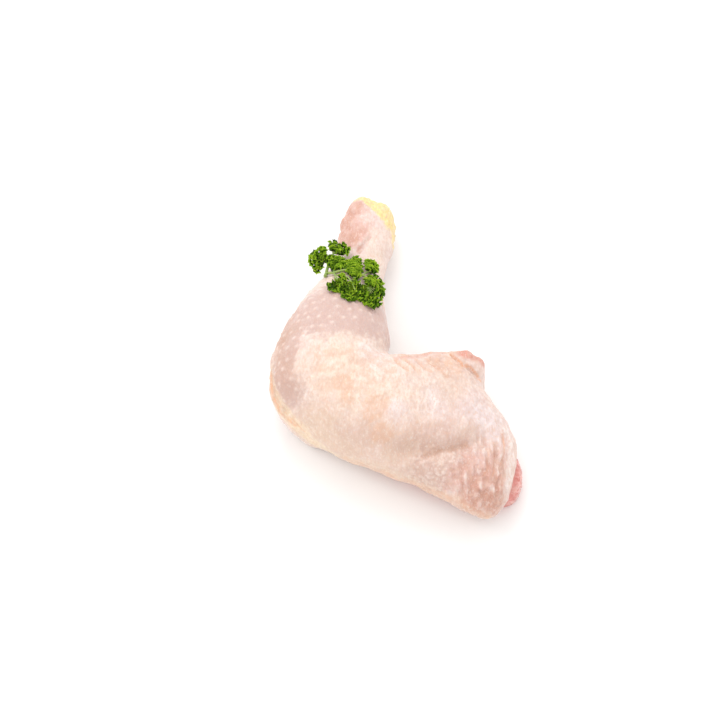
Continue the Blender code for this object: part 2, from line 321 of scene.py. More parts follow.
def useNodes(piece, tree, values):
    modifier = piece.modifiers.new(tree.name, "NODES")
    modifier.node_group = tree
    for item in tree.interface.items_tree:
        if item.in_out == "INPUT" and item.name in values:
            modifier[item.identifier] = values[item.name]


# Shader groups that several finishes use.
def stretchedPlace(tree, given):
    place = add(tree, "ShaderNodeTexCoord").outputs["Object"]
    return vector2(tree, "DIVIDE", vector2(tree, "SCALE", place, 1 / mm), given.outputs["Stretch"])


def makeMottle():
    tree, given, made = newGroup("mottle", "ShaderNodeTree", {
        "Size": ("Float", 8.0), "Low": ("Float", 0.4), "High": ("Float", 0.6), "Stretch": ("Vector", (1, 1, 1)),
    }, {"Mask": ("Float", None)})
    drawn = stretchedPlace(tree, given)
    scale = math2(tree, "DIVIDE", 1.0, given.outputs["Size"])
    noise = add(tree, "ShaderNodeTexNoise", {"Vector": drawn, "Scale": scale, "Detail": 3.0, "Roughness": 0.55})
    mask = ranged(tree, noise.outputs[0], given.outputs["Low"], given.outputs["High"])
    tree.links.new(mask, made.inputs["Mask"])
    return tree


def makePores():
    tree, given, made = newGroup("pores", "ShaderNodeTree", {
        "Size": ("Float", 1.0), "Stretch": ("Vector", (1, 1, 1)), "Depth": ("Float", 1.0),
    }, {"Height": ("Float", None)})
    drawn = stretchedPlace(tree, given)
    scale = math2(tree, "DIVIDE", 1.0, given.outputs["Size"])
    cells = add(
        tree, "ShaderNodeTexVoronoi", {"Vector": drawn, "Scale": scale, "Smoothness": 0.35}, feature="SMOOTH_F1"
    )
    noise = add(tree, "ShaderNodeTexNoise", {"Vector": drawn, "Scale": times(tree, scale, 2.3)})
    dome = math2(tree, "SUBTRACT", 0.8, cells.outputs["Distance"])
    rough = times(tree, noise.outputs[0], 0.5)
    height = times(tree, math2(tree, "ADD", dome, rough), given.outputs["Depth"])
    tree.links.new(height, made.inputs["Height"])
    return tree


def groupNode(tree, group, **values):
    node = tree.nodes.new("ShaderNodeGroup")
    node.node_tree = group
    for key, value in values.items():
        put(tree, node.inputs[key.capitalize()], value)
    return node


def mottled(tree, mottle, size, low, high, stretch=(1.0, 1.0, 1.0)):
    return groupNode(tree, mottle, size=size, low=low, high=high, stretch=stretch).outputs[0]


def maskOf(tree, name):
    return add(tree, "ShaderNodeAttribute", attribute_name=name).outputs["Fac"]


def newMaterial(name):
    material = bpy.data.materials.new(name)
    material.use_nodes = True
    tree = material.node_tree
    return material, tree, tree.nodes["Principled BSDF"]


# The skin of the leg.
# Lines on the leg that a crease and a tint both follow.
lines = {
    "kneeSeam": ((-56, -25, 26.5), (-55.6, -30.9, 26.5), (-54.9, -34.5, 27), (-53.7, -38, 26), (-50.6, -42.7, 23.8),
        (-44.5, -49, 20.8)),
    "kneeLine": ((-52.1, -38.2, 27), (-49.9, -41.5, 25.7), (-47.2, -44.8, 23.7), (-44.1, -48.2, 22.4),
        (-40.7, -50.8, 20)),
    "backFold": ((14.5, -20, 32.5), (15.6, -21.4, 33.4), (18.9, -28, 35.6), (21.9, -31.7, 35.7), (27, -32.7, 34)),
    "flapGroove": ((23.5, -15.4, 27.6), (27, -20, 29), (29.4, -22.8, 29.4)),
    "flapGrooveLow": ((30.2, -21.8, 28.6), (32.8, -23.6, 27.7), (35.2, -25.6, 25.8), (36.8, -27.2, 23.8)),
    "ribOne": ((-0.5, -26, 39.6), (1.6, -29.5, 41), (4.6, -32.6, 41.4)),
    "ribTwo": ((3.6, -25, 38.4), (6, -28.5, 39.6), (9.2, -32, 40)),
    "ribThree": ((8.2, -24, 36.4), (11, -27.6, 38), (14.4, -31, 38.2)),
}

skinForm = {
    "meshSize": 0.64,
    "facetPasses": 14,
    "edgeWander": 2.2,
    "scallop": 0.9,
    # points near each crease, depth and half width; a negative depth raises a fold
    "creases": {
        "kneeSeam": (lines["kneeSeam"], 0.8, 0.7),
        "kneeLine": (lines["kneeLine"], 0.4, 0.5),
        "kneeRoll": (((-57, -27, 24), (-55, -37, 24), (-50.5, -43.5, 21.5), (-46, -48, 19), (-40, -52, 17)), -0.8,
            1.6),
        "leftSwell": (((-45, 8, 27), (-50, -5, 27), (-54, -15, 27), (-56, -23, 27)), -1.6, 8.0),
        "valley": (((4, -68.5, 32), (12, -68.9, 31.7), (20.4, -66.6, 31.8), (29, -64.4, 30.6), (36, -61, 29)), 0.7,
            1.5),
        "valleyTail": (((-14, -64, 34), (-4, -66, 35), (6, -67, 33)), 0.35, 2.2),
        "hockSwell": (((-0.5, 68, 13), (-0.6, 61, 12.5), (-1, 54, 12), (-2, 45, 12)), -1.2, 6.0),
        "hockSwellLeft": (((-25, 62, 13), (-26, 57, 12), (-25.5, 51, 12), (-24, 44, 12)), -1.5, 5.0),
        "hockNotch": (((-25, 70, 12), (-23, 69, 16), (-20.5, 67.5, 19), (-17, 65, 21.5)), 0.8, 2.0),
        "hockFold": (((-10.5, 53, 22.8), (-13.8, 47, 23.5), (-16, 44, 23.7), (-17.4, 41.5, 23.6)), 1.3, 0.9),
        "hockRidge": (((-13.6, 51, 23), (-16.4, 47.4, 23.5), (-18.8, 44.4, 23)), -0.7, 1.2),
        "topSwell": (((10, -18, 30), (16, -15.3, 27.3), (23, -14, 26.5), (30, -14, 26), (36, -15.5, 25)), -1.2,
            4.6),
        "flapTip": (((29, -14, 27), (34, -14.4, 26.4), (39.7, -15.7, 25.2), (41, -21.5, 24)), -0.7, 2.2),
        "backFold": (lines["backFold"], 0.45, 1.3),
        "flapGroove": (lines["flapGroove"], 0.9, 0.6),
        "flapGrooveLow": (lines["flapGrooveLow"], 1.1, 0.75),
        "flapEdge": (((31.5, -20, 28.3), (34.2, -22.4, 27.4), (36.6, -24.8, 25.6)), -0.6, 0.9),
        "ribOne": (lines["ribOne"], 0.75, 0.8),
        "ribTwo": (lines["ribTwo"], 0.75, 0.8),
        "ribThree": (lines["ribThree"], 0.75, 0.8),
        "ribFour": (((13.2, -22.2, 34), (16.2, -26.4, 35.6), (19.4, -30, 36.2)), 0.75, 0.8),
        "ribFive": (((18.4, -19.6, 30.6), (21.4, -24, 33), (25, -28.2, 34)), 0.75, 0.8),
        "pleatOne": (((45.5, -55, 25.4), (46.2, -63, 24.6), (45.4, -70.4, 24.4), (43.8, -77, 23.6), (41, -83, 22)),
            1.0, 0.8),
        "pleatTwo": (((42, -60, 27), (42.6, -69, 26.4), (40.6, -77, 25.8)), 0.9, 0.8),
        "pleatThree": (((38.6, -63, 28.2), (38.8, -70, 28), (36.6, -77, 27.6)), 0.8, 0.8),
        "pleatFour": (((34.6, -66, 29), (34.6, -72, 28.8), (32.6, -79, 28.2)), 0.6, 0.8),
        "meatMouth": (((49.5, -56, 19), (50.8, -60, 18), (51.2, -64, 17)), 0.8, 2.2),
        "lipRoll": (((48.6, -56, 22.8), (51, -62, 20.6), (50.6, -70, 18.6), (48.4, -78, 17)), -0.5, 1.3),
    },
    # softness of the edge of a spot; the others have the first
    "softness": {
        "": 0.45, "dimpled": 0.5, "fatCream": 0.5, "thinSkin": 0.5, "paintedShade": 0.9,
        "tanAndFrontShade": 0.8, "milkyAndHighlight": 0.85,
    },
    "bandSoftness": {"": 0.5, "paintedShade": 0.9},
    # middle, reach and strength of each spot of a tint or relief
    "spots": {
        "fatCream": (
            ((-18, -35, 44), (22.5, 16, 18), 1.0), ((5, -38, 40), (20, 11, 12), 0.8),
            ((-9, -26, 43), (11, 9, 10), 1.0), ((-33, -57, 20), (14, 10, 12), 0.7),
            ((-9.5, 42, 21), (4, 12, 8), 0.6),
        ),
        "thinSkin": (
            ((-22, -2, 38), (27, 18, 20), 1.0), ((-47, -22, 34), (9, 24, 18), 1.0),
            ((-42, -40, 33), (9, 11, 11), 0.4),
        ),
        # beige tone with painted shade on the lower front faces, turned away from the light
        "tanAndFrontShade": (
            ((-20, -60, 25), (24, 9, 18), 0.8), ((2, -70, 24), (18, 8, 14), 0.8),
            ((-36, -54, 28), (16, 10, 14), 1.0),
        ),
        "peach": (
            ((-24, -43.5, 44.5), (5, 7.5, 8), 0.9), ((-31, -25, 45.5), (8, 4, 8), 0.4),
            ((-10.5, -52, 43.5), (5.5, 7, 8), 1.0), ((-6.7, -62.5, 38), (5, 4, 6), 0.9),
            ((22, -24, 33), (9, 7, 8), 0.9),
        ),
        "rosy": (
            ((-20.5, 60, 18), (10.5, 16, 11), 1.0), ((-18, 70, 19), (5, 6, 6), 0.9),
            ((34, -79, 26), (15, 14, 16), 0.75), ((47, -62, 24), (6, 12, 8), 0.4),
        ),
        # a milky pale tint of the skin, partly painted highlights on the thigh and the lobe
        "milkyAndHighlight": (
            ((-9, -27, 42), (6, 8, 8), 0.9), ((-0.5, -54.5, 43), (5, 6, 6), 0.7), ((15.5, -46, 40), (6, 9, 6), 0.7),
            ((38, -48, 30), (11, 10, 10), 1.0), ((16, -76, 28), (12, 6, 12), 0.25),
            ((30, -70, 29), (10, 6, 6), 0.5), ((3, -37, 41), (16, 6, 8), 0.3), ((-9, 56, 22), (6, 14, 8), 0.2),
        ),
        "ruddy": (
            ((38, -87, 20), (11, 5, 8), 1.0), ((43.5, -80, 22), (4, 8, 6), 0.6),
            ((-18.5, 68.5, 20), (4, 4, 4), 0.7), ((-21.5, 59, 17), (7, 14, 9), 0.85),
        ),
        # painted shade: the broad shade on the front faces under the thigh, the left flank turned away from the
        # light, and a soft patch on the lower lobe
        "paintedShade": (
            ((-16, -62, 35), (22, 7, 10), 0.3), ((8, -64, 36), (24, 7, 8), 0.5), ((-52, -14, 31), (8, 24, 13), 0.9),
            ((-49, -28, 38), (7, 12, 10), 0.6), ((14, -77, 28), (15, 8, 12), 0.3),
        ),
        "granular": (((16, -77, 28), (18, 11, 14), 1.0), ((38, -84, 22), (13, 9, 12), 1.0)),
        "dimpled": (((-18, -35, 44), (23, 16, 18), 1.0),),
    },
    # path, half width and strength of each band
    "bands": {
        "fatCream": ((((-42, -50, 17), (-29, -58, 14), (-14, -67, 17), (1, -73, 17), (14, -79, 18)), 6.0, 0.9),),
        "frontEdge": ((((-20, -64, 15), (-8, -70, 14), (4, -75, 14), (16, -81, 16), (26, -86, 17), (36, -90, 15)),
            5.0, 0.9),),
        "kneeCream": (
            (((-55.5, -25.4, 26.4), (-54.5, -30, 27.7), (-52.8, -36, 27.6), (-49.9, -41.5, 25.8),
                (-45.9, -46, 23.4), (-41.5, -50.2, 21.5), (-35.9, -53.6, 16), (-28, -58, 13)), 3.4, 0.9),
            (((-57, -27, 23), (-55, -37, 22), (-50, -44.5, 19), (-44, -50, 16), (-36, -55, 12)), 3.0, 1.0),
        ),
        "peach": (
            (((2, -22, 36), (14, -17.5, 29), (24, -14.5, 26), (30, -14, 26)), 2.4, 0.9),
            (((-14, -67, 16), (2, -74, 15), (14, -80, 17), (25, -86, 18), (35, -90, 17)), 3.0, 0.7),
            (((-57.5, -22, 25), (-57.6, -28, 24.6), (-57, -33, 24.6)), 1.4, 0.5),
        ),
        # painted shade: the crease of the valley, the shade above it and the shadow line of the fold behind the
        # flap
        "paintedShade": (
            (((-6, -66, 34.5), (2, -67.6, 33.4), (9, -68.6, 32.4), (15, -68, 32)), 3.2, 0.4),
            (((11, -69.5, 31.8), (15, -68.3, 31.8), (19, -67.3, 31.8), (22.6, -66.5, 31.6), (26.5, -65.3, 31),
                (30.3, -63.6, 30.4)), 1.5, 1.0),
            (((12, -67.5, 33), (19, -65, 33.4), (27, -62.5, 32.4)), 2.6, 0.55), (lines["backFold"], 1.2, 0.3),
        ),
        # along the hock fold: painted shade in the fold, in the hock's pink
        "rosy": ((((-11, 52, 23), (-13.8, 47, 23.5), (-16, 44, 23.7), (-17.4, 41.5, 23.6)), 0.8, 0.7),),
        "flapBack": (
            (((30, -15.6, 27.5), (33, -16.2, 26.8), (36.5, -16.8, 25.6), (38.5, -18.2, 25)), 2.8, 1.0),
            (((0, -24.5, 38.5), (6, -22.4, 36), (10.5, -20.3, 33), (15, -16.9, 29.3), (20, -15.6, 28)), 1.5, 0.45),
        ),
        "seam": ((lines["kneeSeam"], 0.7, 0.6), (lines["kneeLine"], 0.5, 0.55), (lines["flapGroove"], 0.7, 1.0),
            (lines["flapGrooveLow"], 0.7, 0.9), (((45.5, -56, 25.4), (46.2, -63, 24.6), (45.4, -70.4, 24.4),
            (43.8, -77, 23.6)), 0.7, 0.6), (((42, -61, 27), (42.6, -69, 26.4), (40.6, -77, 25.8)), 0.6, 0.45),
            (((38.6, -64, 28.2), (38.8, -70, 28), (36.6, -77, 27.6)), 0.6, 0.35), (lines["ribOne"], 1.1, 0.4),
            (lines["ribTwo"], 1.1, 0.4), (lines["ribThree"], 1.1, 0.35), (((13.2, -22.2, 34), (16.2, -26.4, 35.6),
            (21.9, -31.7, 35.7)), 1.0, 0.35)),
        # the pale cut edge of the skin; the two short bands after it are painted highlights on the drumstick and
        # the thigh
        "lipAndHighlight": (
            (((48, -51, 24), (49.8, -58, 22.4), (49.6, -64, 21.8), (49, -72, 20.6), (47.2, -79, 19)), 2.2, 0.75),
            (((-40.4, -44.5, 36.8), (-37.8, -41, 38.5)), 0.5, 0.45),
            (((15.8, -51, 39), (16.7, -44, 39.5)), 0.7, 0.6),
        ),
        "cuticle": (
            (((-15, 79.5, 17), (-10, 76, 18.5), (-5, 72, 18.5), (-3, 66, 17.5), (-1.5, 61, 14), (-1, 56.5, 12)),
                5.2, 1.0),
            (((-12, 74, 20), (-8, 70, 21), (-5.5, 65.5, 20.8)), 2.6, 1.0),
        ),
    },
    # stretched cells that wrinkle the skin, named by the mask of their hollows:
    # where, size of a cell, turn about Z, height, seed
    "grains": {
        "granuleGap": ("granular", (1.6, 1.7, 1.7), 0.0, 0.7, 3.0),
        "cobbleGap": ("dimpled", (3.5, 3.5, 3.5), 0.0, 0.65, 17.0),
        "ridgeGap": ("rosyRidges", (2.1, 5.5, 5.0), -8.0, 1.5, 11.0),
        "scaleGap": ("cuticle", (2.4, 2.0, 2.0), 35.0, 0.7, 5.0),
        "wrinkleGap": ("hockSkin", (2.6, 4.2, 3.0), 20.0, 0.7, 8.0),
        "rowGap": ("thighSkin", (1.6, 3.6, 3.2), 4.0, 0.32, 14.0),
        "swellGap": ("everywhere", (9.0, 9.0, 9.0), 0.0, 0.8, 21.0),
    },
    # feather bumps, named by their mask: where, most in a square millimetre, distance between them, width,
    # height, seed
    "featherBumps": {
        "thinBump": ("bumpsOnThin", 0.0, 4.0, 1.6, 0.4, 2),
        "patchBump": ("dimpled", 0.3, 3.8, 1.4, 0.2, 6),
    },
    # rows of feather bumps round the drumstick: first place, distance, number, how many round it, looseness
    "featherRows": {
        "first": 34.0, "apart": 5.0, "count": 19, "around": 30, "loose": 1.2, "missing": 0.18, "seed": 9,
    },
    "drumstickMiddle": ((-55, -34, 20), (-20, -28.5, 22), (0, -25.8, 21), (20, -22.4, 17), (36, -17.8, 13),
        (60, -12.8, 12)),
}

skinColours = {
    "pale": (0.775, 0.608, 0.562),
    "fatCream": (0.805, 0.660, 0.540),
    "kneeCream": (0.850, 0.680, 0.480),
    "thinSkin": (0.585, 0.410, 0.370),
    "peach": (0.745, 0.470, 0.330),
    "rosy": (0.700, 0.430, 0.380),
    "ruddy": (0.560, 0.260, 0.180),
    # painted shade for faces and creases that the light misses
    "paintedShade": (0.500, 0.290, 0.205),
    # beige tone with painted shade for the lower front faces
    "tanAndFrontShade": (0.690, 0.500, 0.370),
    # milky pale tint, partly painted highlights
    "milkyAndHighlight": (0.820, 0.735, 0.755),
    "flapBack": (0.660, 0.250, 0.190),
    "cuticle": (0.870, 0.740, 0.280),
    "frontEdge": (0.800, 0.560, 0.400),
    "seam": (0.800, 0.360, 0.170),
    # pale cut edge of the skin, also the colour of painted highlights
    "lipAndHighlight": (0.880, 0.800, 0.760),
    "bump": (0.880, 0.750, 0.680),
    "cobble": (0.720, 0.475, 0.355),
    "crevice": (0.500, 0.290, 0.230),
}


def maskFromPlaces(points, surface, name):
    mask = np.zeros(len(points))
    loose = wander(wander(points, 14.0, skinForm["edgeWander"], 3), 4.5, skinForm["edgeWander"] * 0.45, 4)
    loose = wander(loose, 3.0, skinForm["scallop"], 7)
    for middle, reach, strength in skinForm["spots"].get(name, ()):
        placesNow = points + (loose - points) * min(1, min(reach) / 9)
        softness = skinForm["softness"].get(name, skinForm["softness"][""])
        mask = np.maximum(mask, spot(placesNow, middle, reach, softness) * strength)
    near = wander(points, 6.0, 0.5, 5)
    for path, halfWidth, strength in skinForm["bands"].get(name, ()):
        laid = laidOn(surface, path, 4)
        softness = skinForm["bandSoftness"].get(name, skinForm["bandSoftness"][""])
        mask = np.maximum(mask, band(near, laid, halfWidth, softness) * strength)
    return mask


def pressCreases(mesh, surface, openSkin):
    points, normals = pointsOf(mesh), valuesOf(mesh, "normal")
    push = np.zeros(len(points))
    for path, depth, halfWidth in skinForm["creases"].values():
        away, along = alongPath(points, laidOn(surface, path, 6), 4)
        fade = smoothStep(0, 0.2, np.minimum(along, 1 - along))
        push -= depth * fade * np.exp(-((away / halfWidth) ** 2))
    movePoints(mesh, points + normals * (push * openSkin)[:, None])


def featherRows(surface):
    rows = skinForm["featherRows"]
    rng = np.random.default_rng(rows["seed"])
    middles = np.array(sorted(skinForm["drumstickMiddle"]))
    places = []
    for k in range(rows["count"]):
        for i in range(rows["around"]):
            angle = 2 * math.pi * (i + k % 2 / 2 + rng.uniform(-0.27, 0.27)) / rows["around"]
            y = rows["first"] - k * rows["apart"] + rng.uniform(-1, 1) * rows["loose"]
            if rng.uniform() < rows["missing"]:
                continue
            across, up = (np.interp(y, middles[:, 0], middles[:, column]) for column in (1, 2))
            start = placed((across, y, up))
            hit = surface.ray_cast(start, Vector((math.cos(angle), 0, math.sin(angle))))[0]
            if hit:
                places.append(hit)
    mesh = bpy.data.meshes.new("feather rows")
    mesh.from_pydata(places, [], [])
    return linked("feather rows", mesh)


def makeFeatherTree():
    tree, given, made = newGroup("feather bumps", "GeometryNodeTree", {
        "Geometry": ("Geometry", None), "Where": ("String", "everywhere"), "Rows": ("Object", None),
        "Density": ("Float", 0.0), "Distance": ("Float", 3.0), "Width": ("Float", 1.0), "Height": ("Float", 0.3),
        "Seed": ("Int", 1), "Mask name": ("String", "bump"), "Material": ("Material", None),
    }, {"Geometry": ("Geometry", None)})
    inside = named(tree, given.outputs["Where"])
    seeds = add(tree, "GeometryNodeDistributePointsOnFaces", {
        "Mesh": given.outputs["Geometry"],
        "Distance Min": times(tree, given.outputs["Distance"], mm),
        "Density Max": math2(tree, "DIVIDE", given.outputs["Density"], mm * mm),
        "Density Factor": inside,
        "Seed": given.outputs["Seed"],
    }, distribute_method="POISSON")
    rows = add(tree, "GeometryNodeObjectInfo", {"Object": given.outputs["Rows"]}, transform_space="ORIGINAL")
    both = tree.nodes.new("GeometryNodeJoinGeometry")
    tree.links.new(seeds.outputs["Points"], both.inputs[0])
    tree.links.new(rows.outputs["Geometry"], both.inputs[0])
    near = add(tree, "GeometryNodeProximity", {0: both.outputs[0]}, target_element="POINTS")
    away = math2(tree, "DIVIDE", near.outputs["Distance"], mm)
    bump = times(tree, ranged(tree, away, given.outputs["Width"], 0.0), inside)
    raiseSkin(tree, given, made, bump, bump)
    return tree


def named(tree, name):
    return add(tree, "GeometryNodeInputNamedAttribute", {"Name": name}, data_type="FLOAT").outputs[0]


def finishTree(tree, geometry, given, made):
    realized = add(tree, "GeometryNodeRealizeInstances", {0: geometry}).outputs[0]
    paint = {"Geometry": realized, "Material": given.outputs["Material"]}
    tree.links.new(add(tree, "GeometryNodeSetMaterial", paint).outputs[0], made.inputs[0])


def raiseSkin(tree, given, made, share, mask):
    rise = times(tree, times(tree, share, given.outputs["Height"]), mm)
    normal = add(tree, "GeometryNodeInputNormal").outputs[0]
    stored = add(tree, "GeometryNodeStoreNamedAttribute", {
        "Geometry": given.outputs["Geometry"], "Name": given.outputs["Mask name"], "Value": mask,
    }, data_type="FLOAT", domain="POINT").outputs[0]
    offset = vector2(tree, "SCALE", normal, rise)
    moved = add(tree, "GeometryNodeSetPosition", {"Geometry": stored, "Offset": offset})
    finishTree(tree, moved.outputs[0], given, made)


def makeGrainTree():
    tree, given, made = newGroup("stretched grain", "GeometryNodeTree", {
        "Geometry": ("Geometry", None), "Where": ("String", "everywhere"), "Cell": ("Vector", (2, 2, 2)),
        "Turn": ("Float", 0.0), "Height": ("Float", 0.3), "Seed": ("Float", 1.0), "Mask name": ("String", "grain"),
        "Material": ("Material", None),
    }, {"Geometry": ("Geometry", None)})
    where = named(tree, given.outputs["Where"])
    inMm = vector2(tree, "SCALE", add(tree, "GeometryNodeInputPosition").outputs[0], 1 / mm)
    turn = {"Vector": inMm, "Angle": given.outputs["Turn"]}
    turned = add(tree, "ShaderNodeVectorRotate", turn, rotation_type="Z_AXIS").outputs[0]
    noise = add(tree, "ShaderNodeTexNoise", {"Vector": turned, "Scale": 0.22, "Detail": 2.0})
    bent = vector2(tree, "ADD", turned, vector2(tree, "SCALE", noise.outputs["Color"], 2.6))
    drawn = vector2(tree, "DIVIDE", bent, given.outputs["Cell"])
    cells = add(tree, "ShaderNodeTexVoronoi", {
        "Vector": drawn, "W": given.outputs["Seed"], "Scale": 1.0, "Smoothness": 0.5, "Randomness": 0.9,
    }, voronoi_dimensions="4D", feature="SMOOTH_F1")
    dome = ranged(tree, cells.outputs["Distance"], 0.85, 0.1)
    lift = times(tree, math2(tree, "SUBTRACT", dome, 0.5), where)
    hollow = times(tree, math2(tree, "SUBTRACT", 1.0, dome), where)
    raiseSkin(tree, given, made, lift, hollow)
    return tree


skinFinish = {
    # tints under the others: colour, size of the noise, stretch, low, high, strength
    "undertones": (
        ("fatCream", 16.0, (1.0, 1.0, 1.0), 0.35, 0.65, 0.45),
        ("thinSkin", 9.0, (1.0, 1.3, 0.9), 0.5, 0.72, 0.28),
    ),
    # each tint's strength on its own, and its strength where the noise breaks it up
    "layers": {
        "thinSkin": (0.85, 0.15), "fatCream": (0.6, 0.35), "tanAndFrontShade": (0.45, 0.35), "kneeCream": (0.75, 0.25),
        "frontEdge": (0.3, 0.55), "rosy": (0.6, 0.4), "peach": (0.24, 0.58), "milkyAndHighlight": (0.45, 0.4),
        "paintedShade": (0.7, 0.2), "ruddy": (0.25, 0.5), "flapBack": (0.72, 0.25), "seam": (0.75, 0.25),
        "lipAndHighlight": (0.8, 0.15), "cuticle": (0.62, 0.38),
    },
    # tints with a ragged edge, how ragged it is, and where it starts and ends
    "ragged": ("thinSkin", "cuticle", "rosy", "peach", "frontEdge"),
    "raggedness": 0.4,
    "raggedEdge": (0.2, 0.8),
    "bumps": {"thinBump": 0.55, "patchBump": 0.35},
    # painted shade in the hollows between the grains, partly the skin's own colour there: colour and strength
    "gaps": {
        "granuleGap": ("crevice", 0.48), "cobbleGap": ("cobble", 0.58), "ridgeGap": ("ruddy", 0.52),
        "scaleGap": ("seam", 0.16), "rowGap": ("crevice", 0.25), "wrinkleGap": ("ruddy", 0.45),
    },
    "gapEdge": (0.35, 0.95),
    # painted highlight on the tops of the lobe's ridges: low, high and strength
    "ridgeHighlight": (0.6, 0.95, 0.5),
    # streaks of the grain: low, high, colour, strength; then their size, stretch and share on thin skin
    "streaks": ((0.52, 0.68, "bump", 0.38), (0.5, 0.34, "cobble", 0.52)),
    "streakSize": 0.85,
    "streakStretch": (1.0, 1.9, 1.7),
    "streakOnThin": 0.5,
    "fineStrength": 0.18,
    "roughness": (0.42, 0.6),
    "wetness": (0.05, 0.35),
    "coatRoughness": 0.18,
    "subsurface": (0.06, (1.0, 0.45, 0.3), 1.2),
    # bump: strength and depth, then the size of pores and of the finer weave
    "relief": (0.8, 0.22),
    "poreSize": 0.95,
    "weaveSize": 0.5,
}


def reliefOf(tree, shader, height, strength, depth):
    bump = add(tree, "ShaderNodeBump", {"Strength": strength, "Distance": depth * mm, "Height": height})
    put(tree, shader.inputs["Normal"], bump.outputs[0])


def underSurface(shader, weight, radius, depth):
    shader.inputs["Subsurface Weight"].default_value = weight
    shader.inputs["Subsurface Radius"].default_value = radius
    shader.inputs["Subsurface Scale"].default_value = depth * mm


def makeSkinFinish(mottle, pores):
    material, tree, shader = newMaterial("rawSkin")
    finish = skinFinish
    colour = skinColours["pale"]
    for tint, size, stretch, low, high, strength in finish["undertones"]:
        noise = mottled(tree, mottle, size, low, high, stretch)
        colour = tinted(tree, colour, noise, strength, skinColours[tint])
    breakUp = mottled(tree, mottle, 3.2, 0.3, 0.62)
    fine = mottled(tree, mottle, 1.5, 0.35, 0.62, (1.0, 2.2, 2.0))
    edging = math2(tree, "SUBTRACT", mottled(tree, mottle, 2.4, 0.3, 0.7), 0.5)
    ragged = times(tree, edging, finish["raggedness"])
    for name, (even, broken) in finish["layers"].items():
        strength = math2(tree, "ADD", times(tree, breakUp, broken), even)
        mask = maskOf(tree, name)
        if name in finish["ragged"]:
            mask = ranged(tree, math2(tree, "ADD", mask, ragged), *finish["raggedEdge"])
        colour = tinted(tree, colour, mask, strength, skinColours[name])
    for name, strength in finish["bumps"].items():
        colour = tinted(tree, colour, maskOf(tree, name), strength, skinColours["bump"])
    # Painted shade in the hollows between the grains.
    for name, (tint, strength) in finish["gaps"].items():
        gap = ranged(tree, maskOf(tree, name), *finish["gapEdge"])
        colour = tinted(tree, colour, gap, strength, skinColours[tint])
    # Painted highlight on the tops of the ridges, in the pale colour of the lip.
    ridgeHighlight = math2(tree, "SUBTRACT", maskOf(tree, "rosyRidges"), maskOf(tree, "ridgeGap"))
    low, high, strength = finish["ridgeHighlight"]
    colour = mixColour(tree, ranged(tree, ridgeHighlight, low, high, 0.0, strength), colour, skinColours["lipAndHighlight"])
    grainShare = ranged(tree, maskOf(tree, "thinSkin"), 0.0, 1.0, 1.0, finish["streakOnThin"], "LINEAR")
    for low, high, tint, strength in finish["streaks"]:
        streak = mottled(tree, mottle, finish["streakSize"], low, high, finish["streakStretch"])
        colour = tinted(tree, colour, times(tree, streak, grainShare), strength, skinColours[tint])
    colour = tinted(tree, colour, fine, finish["fineStrength"], skinColours["crevice"])
    put(tree, shader.inputs["Base Color"], colour)
    dull = mottled(tree, mottle, 4.0, 0.3, 0.7)
    put(tree, shader.inputs["Roughness"], ranged(tree, dull, 0.0, 1.0, *finish["roughness"], "LINEAR"))
    wet = mottled(tree, mottle, 7.0, 0.4, 0.6)
    put(tree, shader.inputs["Coat Weight"], ranged(tree, wet, 0.0, 1.0, *finish["wetness"], "LINEAR"))
    shader.inputs["Coat Roughness"].default_value = finish["coatRoughness"]
    underSurface(shader, *finish["subsurface"])
    pore = groupNode(tree, pores, size=finish["poreSize"], stretch=(1.0, 1.7, 1.6), depth=1.0)
    weave = groupNode(tree, pores, size=finish["weaveSize"], stretch=(1.0, 1.0, 1.0), depth=0.4)
    height = math2(tree, "ADD", pore.outputs["Height"], weave.outputs["Height"])
    reliefOf(tree, shader, height, *finish["relief"])
    return material


